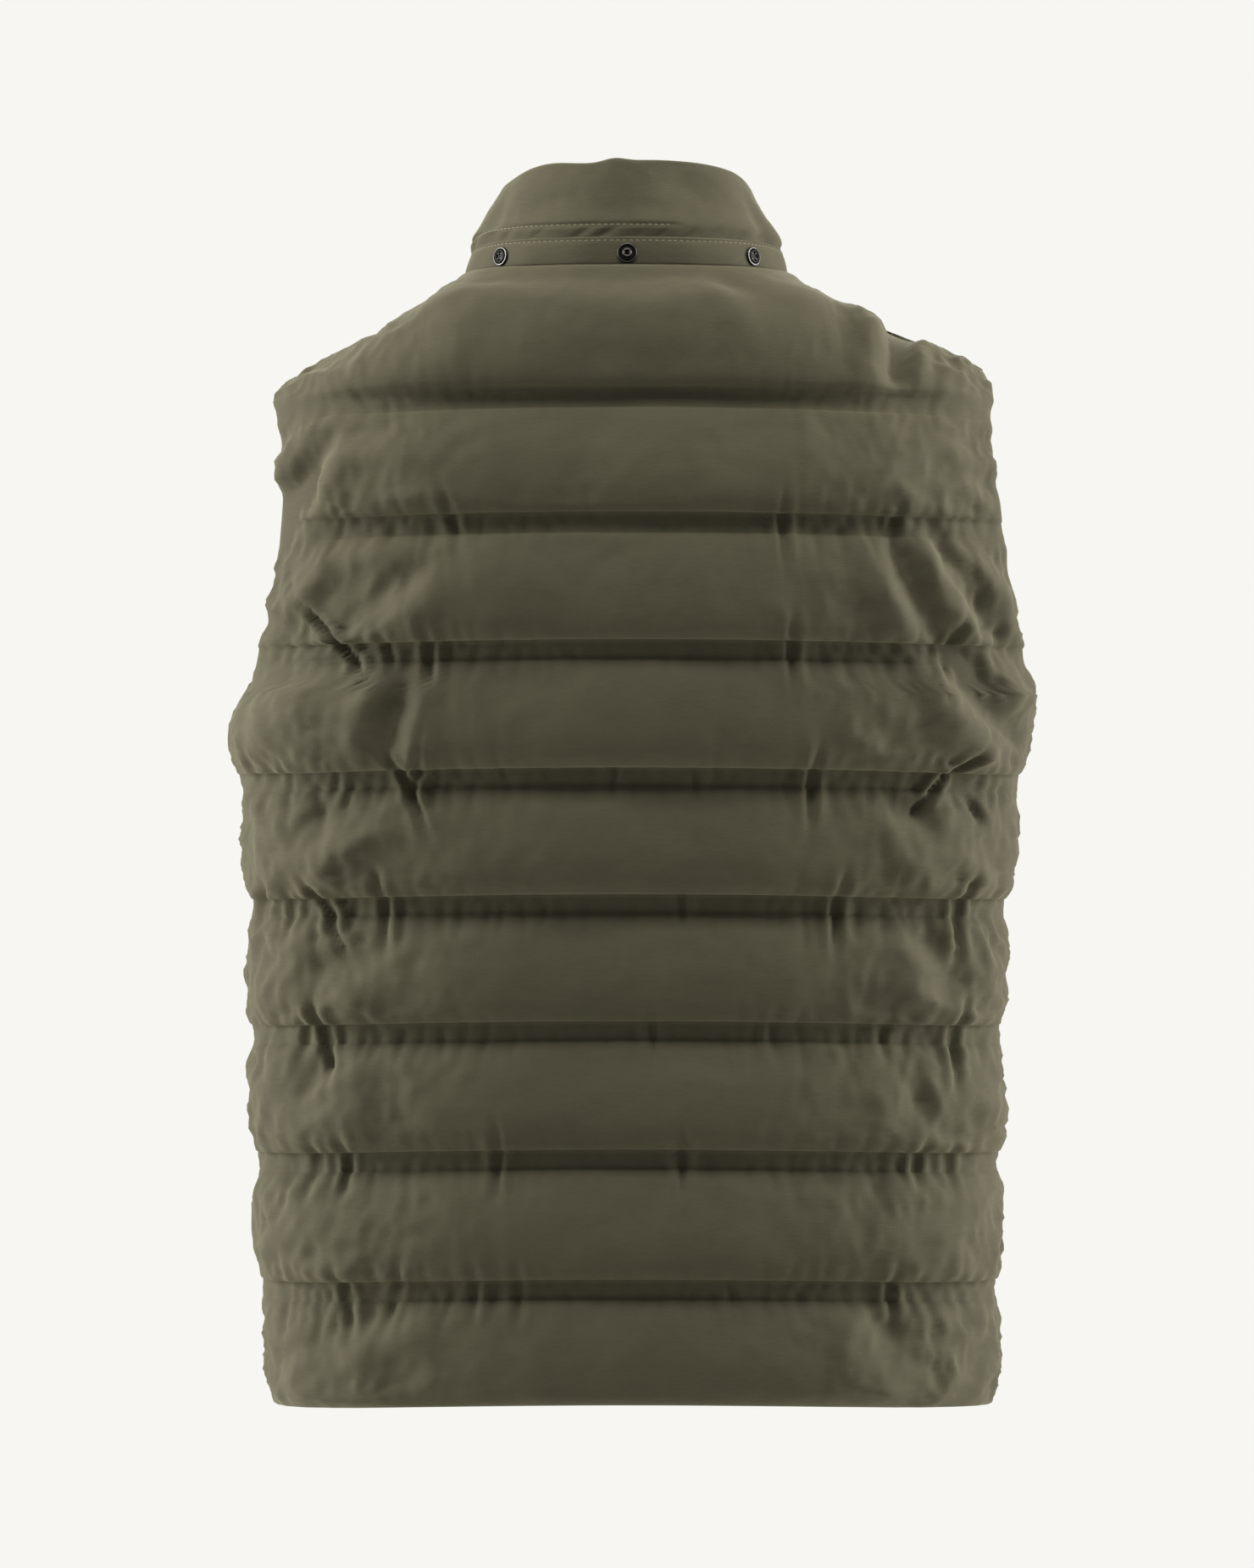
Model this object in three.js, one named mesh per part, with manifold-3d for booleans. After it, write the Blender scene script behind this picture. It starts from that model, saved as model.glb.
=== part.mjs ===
// Quilted puffer vest with a stand collar, filled out as it is worn, with no wearer in it.
//
// The vest is three padded panels (back, left front, right front), a stand collar, a band round the
// collar's foot that carries three press studs for a loose hood, and a front zip. Each padded panel
// is one wall, puffed up between level gutters where the cloth is bonded flat in strips. The neck,
// the armholes and the hem are open.
//
// Millimetres, +Z up. The wearer faces +Y, so the back of the vest faces -Y and their right hand is
// towards +X. The origin is on the shoulders, midway between the necks of the two shoulder seams.
import * as THREE from "three";
import { mergeVertices } from "three/addons/utils/BufferGeometryUtils.js";
import Module from "manifold-3d";

// Seams and cloth
const SEAM_GAP = 0.3; // between sewn pieces
const FOOT_GAP = 0.6; // under the collar, straight up: the seam slopes
const FLAT_WALL = 3; // a padded wall where it is pressed or sewn flat
const PUFF = 15; // how far a full channel stands above the flat wall
const LINING_SHARE = 0.22; // how much of that the inside puffs the other way
const SIDE_PUFF = 0.2; // share of the puff left at a side seam or an armhole
const SIDE_COLUMNS = 4; // and over how many columns it fades

// Quilting: level gutters, counted down from the shoulders
const GUTTERS = 8;
const FIRST_GUTTER = -48; // height of the top gutter's middle
const GUTTER_WIDTH = 11;
const FIRST_PITCH = 72.8;
const PITCH_GROWTH = 0.44;
const HEM = -634;
const SIDE_DROP = 5; // how much lower a gutter lies at the side than in the middle
const CHANNEL_SHARES = [0.18, 0.45, 0.78]; // where a channel's rings lie, from its lower gutter
const CHANNEL_PUFF = [0.78, 1, 0.66]; // and how full each is: the filling sinks
const YOKE_TURN = { middle: 52, shoulder: 80 }; // degrees that the yoke curves through, over the top
// One more ring just under the neck and shoulder seams: it leaves the neck straight out
const YOKE_LAST = { share: 0.94, puff: 0.1, out: 11, most: 0.16, fall: 0.14, cornerTurn: 35 };

// Body form inside the padding: half widths to the wearer's left and right, depths to back and front
const SECTIONS = [
  { height: -634, left: 205, right: 213, back: 114, front: 118 },
  { height: -566, left: 214, right: 217, back: 113, front: 121 },
  { height: -491, left: 217, right: 218, back: 109, front: 121 },
  { height: -415, left: 220, right: 219, back: 106, front: 120 },
  { height: -341, left: 220, right: 222, back: 108, front: 120 },
  { height: -268, left: 227, right: 230, back: 115, front: 122 },
  { height: -235, left: 229, right: 235, back: 119, front: 123 },
  { height: -194, left: 220, right: 237, back: 123, front: 122 },
  { height: -121, left: 216, right: 234, back: 122, front: 115 },
  { height: -48, left: 211, right: 219, back: 110, front: 102 },
];
const ROUNDNESS = 2.6; // 2 is an ellipse, and more is squarer

// Neck, shoulders and armholes
// A neck ring's dip is how late it drops towards the front
const NECK = { half: 90, back: 76, front: 80, backHeight: 30, frontHeight: -28, dip: 3.3 };
const COLLAR_TOP = { half: 69, back: 66, front: 68, backHeight: 93, frontHeight: 48, dip: 2.2 };
const SHOULDER_SEAM_Y = -6;
const SHOULDER_START = 14; // height of the body form beside the neck
const SHOULDER_TIP = { left: 205, right: 211 };
const TIP_HEIGHT = { left: -38, right: -28 };
const ARMHOLE_TOP = -28;
const ARMHOLE_HALF = 58; // half of its width, front to back
const ARMHOLE_CURVE = 2.2;
const SHOULDER_BEND = 5; // how quickly the shoulder seam straightens, away from the neck point
const SHOULDER_LEAN = 0.4; // how far the seam's edge leans out

// Collar and the stud band round its foot
const COLLAR_WALL = 4.6;
const COLLAR_BOW = 3;
const COLLAR_SHARES = [0, 0.14, 0.28, 0.52, 0.76, 1];
const BAND_WALL = 1.8;
const BAND_SHARES = [0.03, 0.14, 0.28];

// Press studs on the band: angle round the neck from the middle of the back, to the wearer's right
const STUDS = [
  { name: "left", angle: -51, radius: 5.6 },
  { name: "centre", angle: 0, radius: 5.9 },
  { name: "right", angle: 51, radius: 5.6 },
];
const STUD_SHARE = 0.125; // how far up the collar they sit
const STUD_SIDES = 20;
const STUD_STEP = 3; // degrees between the two points that give the band's direction
const STUD_POST = 2.75;
const STUD_WAIST = 0.4; // how far the post narrows under its rolled end
const STUD_BORE = { mouth: 1.5, foot: 1.3 };
const STUD_HEIGHTS = { edge: 1, rim: 1.4, dish: 0.9, waist: 1.8, roll: 2.6, top: 3, bore: 1.4 };
const STUD_RIM = { crest: 0.5, foot: 1 }; // how far inside the edge they lie

// Zip
const ZIP_EDGE = 6.3; // half of the gap between the fronts
const TAPE_EDGE = 17;
const TAPE_WALL = 1;
const CHAIN_HALF = 2.5;
const CHAIN_WALL = 2.3;
const ZIP_TOP_SHARE = 0.94; // how far up the collar the zip runs
const SLIDER = { half: 4.2, height: 9.6, flange: 1.3, face: 1.3, bridge: 8, bridgeHalf: 1.2, bar: 1.1 };
const BRIDGE_ROOM = 0.3; // over the pull's bar, besides its gap
const BRIDGE_ROOT = 0.5; // how deep the bridge stands in the slider's face
const PULL = { wall: 1.2, half: 3.6, holeHalf: 1.7, hole: 4.8, length: 25, gap: 0.3 };

// The largest folds of the outside, as troughs between two points of a panel
const FOLD_LIMIT = 0.8; // the most of the puff that they take off
const FOLDS = [
  { side: "back", x1: -180, z1: -92, x2: -206, z2: -136, width: 13, depth: 6 },
  { side: "back", x1: -128, z1: -150, x2: -166, z2: -190, width: 14, depth: 5 },
  { side: "back", x1: 150, z1: -150, x2: 206, z2: -222, width: 14, depth: 5 },
  { side: "back", x1: 196, z1: -190, x2: 232, z2: -246, width: 13, depth: 5 },
  { side: "back", x1: 163, z1: -4, x2: 157, z2: -42, width: 13, depth: 7 },
  { side: "front", x1: 150, z1: -140, x2: 200, z2: -205, width: 14, depth: 6 },
  { side: "front", x1: -140, z1: -150, x2: -196, z2: -206, width: 14, depth: 6 },
];

const CLOTH = new THREE.MeshStandardMaterial({ color: 0x4f4c39, roughness: 0.75, metalness: 0 });
const TAPE_CLOTH = new THREE.MeshStandardMaterial({ color: 0x3c3a2c, roughness: 0.9, metalness: 0 });
const GUNMETAL = new THREE.MeshStandardMaterial({ color: 0x6e6c6a, roughness: 0.3, metalness: 1 });

const { lerp, clamp, degToRad } = THREE.MathUtils;
const BACK = -1;
const FRONT = 1;
const sideName = (side) => (side === BACK ? "back" : "front");
const handName = (hand) => (hand > 0 ? "right" : "left");

// Heights of the gutters' middles, the top one first.
const gutterHeights = [FIRST_GUTTER];
for (let i = 1; i < GUTTERS; i++) {
  gutterHeights.push(gutterHeights[i - 1] - (FIRST_PITCH + PITCH_GROWTH * (i - 1)));
}

// The rings of every panel, from the hem up. A ring is level, or a share of the yoke over the top
// gutter, and puff says how full the channel is there.
const rings = [{ height: HEM, puff: 0 }];
const halfGutter = GUTTER_WIDTH / 2;
for (const gutter of gutterHeights.toReversed()) {
  const low = rings.at(-1).height;
  const high = gutter - halfGutter;
  CHANNEL_SHARES.forEach((share, k) => {
    rings.push({ height: lerp(low, high, share), puff: CHANNEL_PUFF[k] });
  });
  rings.push({ height: high, puff: 0 }, { height: gutter + halfGutter, puff: 0 });
}
const YOKE_START = rings.at(-1).height;
CHANNEL_SHARES.forEach((share, k) => {
  rings.push({ height: YOKE_START, yoke: share, puff: CHANNEL_PUFF[k] });
});
rings.push({ height: YOKE_START, yoke: YOKE_LAST.share, puff: YOKE_LAST.puff });
rings.push({ height: YOKE_START, yoke: 1, puff: 0 });

// The armhole starts high in the channel over the fourth gutter.
const ARMHOLE_BOTTOM = lerp(
  gutterHeights[3] + halfGutter,
  gutterHeights[2] - halfGutter,
  CHANNEL_SHARES[2],
);

// A smooth curve through a column of the table of sections.
function sectionValue(name, height) {
  const h = clamp(height, SECTIONS[0].height, SECTIONS.at(-1).height);
  let i = 0;
  while (i < SECTIONS.length - 2 && SECTIONS[i + 1].height < h) i++;
  const slope = (k) => {
    const a = SECTIONS[Math.max(k - 1, 0)];
    const b = SECTIONS[Math.min(k + 1, SECTIONS.length - 1)];
    return (b[name] - a[name]) / (b.height - a.height);
  };
  const step = SECTIONS[i + 1].height - SECTIONS[i].height;
  const t = (h - SECTIONS[i].height) / step;
  return (
    SECTIONS[i][name] * (2 * t ** 3 - 3 * t ** 2 + 1) +
    SECTIONS[i + 1][name] * (3 * t ** 2 - 2 * t ** 3) +
    slope(i) * step * (t ** 3 - 2 * t ** 2 + t) +
    slope(i + 1) * step * (t ** 3 - t ** 2)
  );
}

// Half of the armhole's width at a height, and 0 where the side is closed.
function armholeHalf(height) {
  const middle = (ARMHOLE_TOP + ARMHOLE_BOTTOM) / 2;
  const away = Math.abs(height - middle) / (ARMHOLE_TOP - middle);
  return away < 1 ? ARMHOLE_HALF * Math.sqrt(1 - away ** ARMHOLE_CURVE) : 0;
}

// The body form's section on one side of the middle, from x = start round to the panel's edge.
function sectionArc(side, hand, height, start) {
  const half = sectionValue(handName(hand), height);
  const depth = sectionValue(sideName(side), height);
  const from = Math.asin((start / half) ** (ROUNDNESS / 2));
  const to = Math.acos((armholeHalf(height) / depth) ** (ROUNDNESS / 2));
  const steps = 40; // fine enough for the curve through them
  const points = [];
  for (let i = 0; i <= steps; i++) {
    const a = lerp(from, to, i / steps);
    const x = hand * half * Math.sin(a) ** (2 / ROUNDNESS);
    const y = side * depth * Math.max(Math.cos(a), 0) ** (2 / ROUNDNESS);
    points.push(new THREE.Vector3(x, y, height - SIDE_DROP * (x / half) ** 2));
  }
  return new THREE.CatmullRomCurve3(points);
}

// A point of the neck line, or of the collar's top: angle 0 is the middle of the back.
function neckPoint(ring, angle) {
  const c = Math.cos(angle);
  const fall = ((1 - c) / 2) ** ring.dip;
  return new THREE.Vector3(
    ring.half * Math.sin(angle),
    -(c > 0 ? ring.back : ring.front) * c,
    lerp(ring.backHeight, ring.frontHeight, fall),
  );
}
const neckOut = (angle) => new THREE.Vector3(Math.sin(angle), -Math.cos(angle), 0);
const frontAngle = (x) => Math.PI - Math.asin(x / NECK.half);

// Columns of half a panel: the inner ones end on the neck line and the rest on the shoulder seam.
const NECK_COLUMNS = 5;
const SHOULDER_COLUMNS = 5;
const COLUMNS = NECK_COLUMNS + SHOULDER_COLUMNS;

// Angles round the neck of one side's columns, from the middle out to the shoulder seam.
function neckAngles(side) {
  const angles = [];
  for (let j = 0; j <= NECK_COLUMNS; j++) angles.push(((Math.PI / 2) * j) / NECK_COLUMNS);
  if (side === BACK) return angles;
  const tape = frontAngle(TAPE_EDGE);
  const spread = angles.slice(1).map((_, j) => lerp(tape, Math.PI / 2, j / (NECK_COLUMNS - 1)));
  return [frontAngle(ZIP_EDGE), ...spread];
}

// Thickness of the panels' neck edge: the collar and its band stand on it.
const BAND_FACE = COLLAR_WALL + SEAM_GAP;
const NECK_WALL = BAND_FACE + BAND_WALL + FOOT_GAP;

// The top edge of half a panel, from the middle out to the shoulder's tip.
function topEdge(side, hand) {
  const edge = neckAngles(side).map((angle) => ({
    at: neckPoint(NECK, hand * angle),
    normal: neckOut(hand * angle),
    wall: NECK_WALL,
  }));
  const corner = edge.at(-1).at;
  const tip = hand * SHOULDER_TIP[handName(hand)];
  for (let j = 1; j <= SHOULDER_COLUMNS; j++) {
    const t = j / SHOULDER_COLUMNS;
    const bend = Math.exp(-SHOULDER_BEND * t); // the seam runs up into the neck point
    const line = lerp(SHOULDER_START, TIP_HEIGHT[handName(hand)], t);
    edge.push({
      at: new THREE.Vector3(
        lerp(corner.x, tip, t),
        lerp(SHOULDER_SEAM_Y, corner.y, bend),
        lerp(line, corner.z, bend),
      ),
      normal: new THREE.Vector3(SHOULDER_LEAN * hand, 0, 1).normalize(),
      wall: FLAT_WALL,
    });
  }
  return edge;
}

// Half of a ring on the body form, from the middle out.
function halfRing(side, hand, ring) {
  const points = [];
  if (side === FRONT) points.push(sectionArc(side, hand, ring.height, ZIP_EDGE).getPointAt(0));
  const arc = sectionArc(side, hand, ring.height, side === FRONT ? TAPE_EDGE : 0);
  const spans = COLUMNS - points.length;
  for (let j = 0; j <= spans; j++) points.push(arc.getPointAt(j / spans));
  if (!ring.yoke) return points;
  return topEdge(side, hand).map(({ at, normal }, j) => {
    if (ring.yoke === YOKE_LAST.share && j <= NECK_COLUMNS) {
      const corner = j === NECK_COLUMNS ? degToRad(YOKE_LAST.cornerTurn) : 0;
      const away = normal.clone().applyAxisAngle(new THREE.Vector3(0, 0, 1), side * hand * corner);
      const out = Math.min(YOKE_LAST.out, YOKE_LAST.most * at.distanceTo(points[j]));
      const p = at.clone().addScaledVector(away, out);
      return p.setZ(p.z - YOKE_LAST.fall * out);
    }
    const beside = Math.min(j / NECK_COLUMNS, 1);
    const turn = degToRad(lerp(YOKE_TURN.middle, YOKE_TURN.shoulder, beside));
    const a = ring.yoke * turn;
    return new THREE.Vector3(
      lerp(points[j].x, at.x, ring.yoke),
      lerp(points[j].y, at.y, (1 - Math.cos(a)) / (1 - Math.cos(turn))),
      lerp(points[j].z, at.z, Math.sin(a) / Math.sin(turn)),
    );
  });
}

// Outward normals of a grid of points whose columns run towards +X.
function gridNormals(grid, side) {
  const near = (list, k) => list[clamp(k, 0, list.length - 1)];
  return grid.map((row, i) =>
    row.map((_, j) => {
      const up = near(grid, i + 1)[j].clone().sub(near(grid, i - 1)[j]);
      const along = near(row, j + 1).clone().sub(near(row, j - 1));
      return up.cross(along).multiplyScalar(side).normalize();
    }),
  );
}

// A closed wall between two grids of points.
function wallGeometry(outer, inner) {
  const rows = outer.length;
  const cols = outer[0].length;
  const points = [...outer.flat(), ...inner.flat()];
  const at = (layer, i, j) => layer * rows * cols + i * cols + j;
  const faces = [];
  const quad = (a, b, c, d) => faces.push(a, b, c, a, c, d);
  const edge = (i, j, k, l) => quad(at(0, i, j), at(0, k, l), at(1, k, l), at(1, i, j));
  for (let i = 0; i < rows - 1; i++) {
    for (let j = 0; j < cols - 1; j++) {
      quad(at(0, i, j), at(0, i, j + 1), at(0, i + 1, j + 1), at(0, i + 1, j));
      quad(at(1, i, j), at(1, i + 1, j), at(1, i + 1, j + 1), at(1, i, j + 1));
    }
    edge(i, 0, i + 1, 0);
    edge(i + 1, cols - 1, i, cols - 1);
  }
  for (let j = 0; j < cols - 1; j++) {
    edge(0, j + 1, 0, j);
    edge(rows - 1, j, rows - 1, j + 1);
  }
  let volume = 0;
  for (let k = 0; k < faces.length; k += 3) {
    const [a, b, c] = faces.slice(k, k + 3).map((v) => points[v]);
    volume += a.dot(b.clone().cross(c));
  }
  if (volume < 0) faces.reverse();
  return new THREE.BufferGeometry().setFromPoints(points).setIndex(faces);
}

const garment = new THREE.Group();
function addPiece(name, geometry, material) {
  const mesh = new THREE.Mesh(geometry, material);
  mesh.name = name;
  garment.add(mesh);
  return mesh;
}

// How much the folds take off the outside at a point.
function foldDepth(side, point) {
  const here = new THREE.Vector3(point.x, 0, point.z);
  let depth = 0;
  for (const fold of FOLDS.filter((f) => f.side === sideName(side))) {
    const line = new THREE.Line3(
      new THREE.Vector3(fold.x1, 0, fold.z1),
      new THREE.Vector3(fold.x2, 0, fold.z2),
    );
    const away = line.closestPointToPoint(here, true, new THREE.Vector3()).distanceTo(here);
    depth += fold.depth * Math.exp(-((away / fold.width) ** 2));
  }
  return depth;
}

// A padded panel. hands lists its halves, from -X to +X. Returns its inner face.
function paddedPanel(name, side, hands) {
  const fullRing = (half) => {
    const halves = hands.map((hand) => (hand < 0 ? half(hand).toReversed() : half(hand)));
    return halves.length > 1 ? [...halves[0], ...halves[1].slice(1)] : halves[0];
  };
  const grid = rings.map((ring) => fullRing((hand) => halfRing(side, hand, ring)));
  const top = fullRing((hand) => topEdge(side, hand));
  const fromMiddle = (j) => (hands.length > 1 ? Math.abs(j - COLUMNS) : hands[0] < 0 ? COLUMNS - j : j);
  const normals = gridNormals(grid, side);
  const outer = grid.map((row) => row.map((p) => p.clone()));
  const inner = grid.map((row) => row.map((p) => p.clone()));
  rings.forEach((ring, i) => {
    grid[i].forEach((p, j) => {
      const column = fromMiddle(j);
      const atSide = column === COLUMNS;
      const closedSide = atSide && ring.height <= ARMHOLE_BOTTOM;
      const onTop = ring.yoke === 1;
      let normal = normals[i][j];
      if (closedSide) normal = new THREE.Vector3(Math.sign(p.x), 0, 0);
      if (onTop) normal = top[j].normal;
      const onZip = side === FRONT && column < 2;
      const fade = onZip ? 0 : lerp(SIDE_PUFF, 1, clamp((COLUMNS - column) / SIDE_COLUMNS, 0, 1));
      const room = ring.yoke ? Math.abs(top[j].at.z - YOKE_START) / FIRST_PITCH : 1;
      const puff = PUFF * ring.puff * fade * Math.min(1, room);
      const fold = Math.min(foldDepth(side, p), FOLD_LIMIT * puff);
      outer[i][j].addScaledVector(normal, (onTop ? top[j].wall : FLAT_WALL) + puff - fold);
      inner[i][j].addScaledVector(normal, -LINING_SHARE * puff);
      if (closedSide || (onTop && column >= NECK_COLUMNS)) {
        outer[i][j].y += (side * SEAM_GAP) / 2;
        inner[i][j].y += (side * SEAM_GAP) / 2;
      }
    });
  });
  addPiece(name, wallGeometry(outer, inner), CLOTH);
  return inner;
}
paddedPanel("back_panel", BACK, [-1, 1]);
paddedPanel("front_panel_left", FRONT, [-1]);
const rightInner = paddedPanel("front_panel_right", FRONT, [1]);

// The stand collar and its band are grids round the neck, on the panels' own neck columns. out is
// how far a layer lies outside the collar's inner face.
function collarPoint(angle, share, out) {
  const foot = neckPoint(NECK, angle);
  foot.z += FOOT_GAP;
  const bow = COLLAR_BOW * Math.sin(Math.PI * share);
  return foot.lerp(neckPoint(COLLAR_TOP, angle), share).addScaledVector(neckOut(angle), bow + out);
}
const quarter = [...neckAngles(BACK).slice(1), ...neckAngles(FRONT).slice(0, -1).toReversed()];
const collarAngles = [...quarter.map((a) => -a).toReversed(), 0, ...quarter];
function collarLayer(shares, from, to) {
  const layer = (out) => shares.map((s) => collarAngles.map((a) => collarPoint(a, s, out)));
  return wallGeometry(layer(to), layer(from));
}
addPiece("collar", collarLayer(COLLAR_SHARES, 0, COLLAR_WALL), CLOTH);
addPiece("stud_band", collarLayer(BAND_SHARES, BAND_FACE, BAND_FACE + BAND_WALL), CLOTH);

// A press stud: a flange with a raised rim, and a hollow post with a flat, rolled end.
function studGeometry(radius) {
  const { edge, rim, dish, waist, roll, top, bore } = STUD_HEIGHTS;
  const profile = [
    [0, 0],
    [radius, 0],
    [radius, edge],
    [radius - STUD_RIM.crest, rim],
    [radius - STUD_RIM.foot, dish],
    [STUD_POST, dish],
    [STUD_POST - STUD_WAIST, waist],
    [STUD_POST, roll],
    [STUD_POST, top],
    [STUD_BORE.mouth, top],
    [STUD_BORE.foot, bore],
    [0, bore],
  ];
  const points = profile.map(([r, z]) => new THREE.Vector2(r, z));
  return new THREE.LatheGeometry(points, STUD_SIDES).rotateX(Math.PI / 2);
}
const OUT_OF_BAND = BAND_FACE + BAND_WALL;
for (const stud of STUDS) {
  const angle = degToRad(stud.angle);
  const step = degToRad(STUD_STEP);
  const at = collarPoint(angle, STUD_SHARE, OUT_OF_BAND);
  const along = collarPoint(angle + step, STUD_SHARE, OUT_OF_BAND).sub(at);
  const up = collarPoint(angle, 2 * STUD_SHARE, OUT_OF_BAND).sub(at);
  const normal = along.cross(up).normalize();
  const mesh = addPiece("press_stud_" + stud.name, studGeometry(stud.radius), GUNMETAL);
  mesh.quaternion.setFromUnitVectors(new THREE.Vector3(0, 0, 1), normal);
  mesh.position.copy(at).addScaledVector(normal, SEAM_GAP);
}

// The zip's line runs up the fronts' inner faces and the collar's, from the hem. Its normals face
// away from the wearer.
const zipShares = COLLAR_SHARES.filter((s) => s > 0 && s < ZIP_TOP_SHARE).concat(ZIP_TOP_SHARE);
const zipRows = [
  ...rightInner.map((row) => row.slice(0, 2)),
  ...zipShares.map((s) => [ZIP_EDGE, TAPE_EDGE].map((x) => collarPoint(frontAngle(x), s, 0))),
];
const zipNormals = gridNormals(zipRows, FRONT).map(([n]) => n.setX(0).normalize());
function zipStrip(pointsOf, from, to) {
  const layer = (out) =>
    zipRows.map((row, i) => pointsOf(row).map((p) => p.addScaledVector(zipNormals[i], out)));
  return wallGeometry(layer(to), layer(from));
}
for (const hand of [-1, 1]) {
  const tapePoints = ([edge, back]) => [
    edge.clone().setX((hand * SEAM_GAP) / 2),
    edge.clone().setX(hand * edge.x),
    back.clone().setX(hand * back.x),
  ];
  const strip = zipStrip(tapePoints, -SEAM_GAP - TAPE_WALL, -SEAM_GAP);
  addPiece("zip_tape_" + handName(hand), strip, TAPE_CLOTH);
}
const chainPoints = ([edge]) => [-CHAIN_HALF, CHAIN_HALF].map((x) => edge.clone().setX(x));
addPiece("zip_chain", zipStrip(chainPoints, 0, CHAIN_WALL), GUNMETAL);

// The slider straddles the chain's top stretch. Its own frame has +Z up the chain and +Y outwards.
const [stretchLow, stretchHigh] = zipRows.slice(-2).map(([p]) => p.clone().setX(0));
const lean = Math.atan2(stretchLow.y - stretchHigh.y, stretchHigh.z - stretchLow.z);
const zipHead = new THREE.Group();
zipHead.position.copy(stretchLow).lerp(stretchHigh, 0.5);
zipHead.rotation.x = lean;
garment.add(zipHead);

const wasm = await Module();
wasm.setup();
function solidOf(geometry) {
  geometry.deleteAttribute("normal");
  geometry.deleteAttribute("uv");
  const merged = mergeVertices(geometry);
  return new wasm.Manifold(
    new wasm.Mesh({
      numProp: 3,
      vertProperties: merged.attributes.position.array,
      triVerts: new Uint32Array(merged.index.array),
    }),
  );
}
function geometryOf(solid) {
  const mesh = solid.getMesh();
  const geometry = new THREE.BufferGeometry();
  geometry.setAttribute("position", new THREE.BufferAttribute(mesh.vertProperties, mesh.numProp));
  return geometry.setIndex(new THREE.BufferAttribute(mesh.triVerts, 1));
}
function block(low, high) {
  const size = high.map((v, k) => v - low[k]);
  const middle = high.map((v, k) => (v + low[k]) / 2);
  return solidOf(new THREE.BoxGeometry(...size).translate(...middle));
}

const faceLow = CHAIN_WALL + SEAM_GAP;
const faceHigh = faceLow + SLIDER.face;
const pivotOut = faceHigh + PULL.gap + PULL.wall / 2;
const bridgeLow = pivotOut + PULL.wall / 2 + PULL.gap + BRIDGE_ROOM; // the pull's bar turns under it
const end = SLIDER.height / 2;
const foot = SLIDER.bridge / 2;
let slider = block([-SLIDER.half, faceLow, -end], [SLIDER.half, faceHigh, end]);
for (const hand of [-1, 1]) {
  const xs = [hand * SLIDER.half, hand * (SLIDER.half - SLIDER.flange)].sort((a, b) => a - b);
  slider = slider.add(block([xs[0], SEAM_GAP, -end], [xs[1], faceHigh, end]));
}
const bridge = block(
  [-SLIDER.bridgeHalf, faceHigh - BRIDGE_ROOT, -foot],
  [SLIDER.bridgeHalf, bridgeLow + SLIDER.bar, foot],
);
const tunnel = block(
  [-SLIDER.half, faceHigh, -foot + SLIDER.bar],
  [SLIDER.half, bridgeLow, foot - SLIDER.bar],
);
const sliderMesh = addPiece("zip_slider", geometryOf(slider.add(bridge.subtract(tunnel))), GUNMETAL);
zipHead.add(sliderMesh);

// The pull tab lies down along the chain, with its top bar under the slider's bridge.
const tab = new THREE.Shape();
const barTop = PULL.wall / 2;
tab.moveTo(-PULL.half, barTop);
tab.lineTo(-PULL.half, -PULL.length + PULL.half);
tab.absarc(0, -PULL.length + PULL.half, PULL.half, Math.PI, 2 * Math.PI, false);
tab.lineTo(PULL.half, barTop);
const eye = new THREE.Path();
eye.moveTo(-PULL.holeHalf, -barTop);
eye.lineTo(PULL.holeHalf, -barTop);
eye.lineTo(PULL.holeHalf, -barTop - PULL.hole);
eye.lineTo(-PULL.holeHalf, -barTop - PULL.hole);
tab.holes.push(eye);
const tabGeometry = new THREE.ExtrudeGeometry(tab, {
  depth: PULL.wall,
  bevelEnabled: false,
  curveSegments: 8,
});
const pull = addPiece("zip_pull", tabGeometry.translate(0, 0, -PULL.wall / 2).rotateX(Math.PI / 2), GUNMETAL);
pull.position.y = pivotOut;
zipHead.add(pull);

export default garment;
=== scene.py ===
import math
import random

import bmesh
import bpy
import numpy as np
from mathutils import Matrix, Vector, noise


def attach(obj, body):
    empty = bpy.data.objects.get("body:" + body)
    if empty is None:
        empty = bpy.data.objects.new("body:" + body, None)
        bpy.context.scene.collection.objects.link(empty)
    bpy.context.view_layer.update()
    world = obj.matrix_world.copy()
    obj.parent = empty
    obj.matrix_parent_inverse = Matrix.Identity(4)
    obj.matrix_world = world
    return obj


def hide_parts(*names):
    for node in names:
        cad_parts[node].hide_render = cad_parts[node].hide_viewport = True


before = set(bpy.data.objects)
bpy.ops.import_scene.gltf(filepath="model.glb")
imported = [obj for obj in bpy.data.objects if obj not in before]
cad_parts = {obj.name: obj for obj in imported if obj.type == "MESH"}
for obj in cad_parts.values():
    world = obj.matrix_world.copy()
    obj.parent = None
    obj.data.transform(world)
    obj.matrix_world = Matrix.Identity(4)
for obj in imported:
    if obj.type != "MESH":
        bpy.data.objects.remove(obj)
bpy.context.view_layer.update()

# ---------------------------------------------------------------------------------------------
# Camera. The vest is seen square from behind, level, from five metres, with a long lens, so that
# its back and its sides keep nearly the same scale.
EYE_DISTANCE = 5.0
MIDDLE_HEIGHT = -0.2728
VIEW_HEIGHT = 0.934  # what the frame's long side covers at the vest

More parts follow.
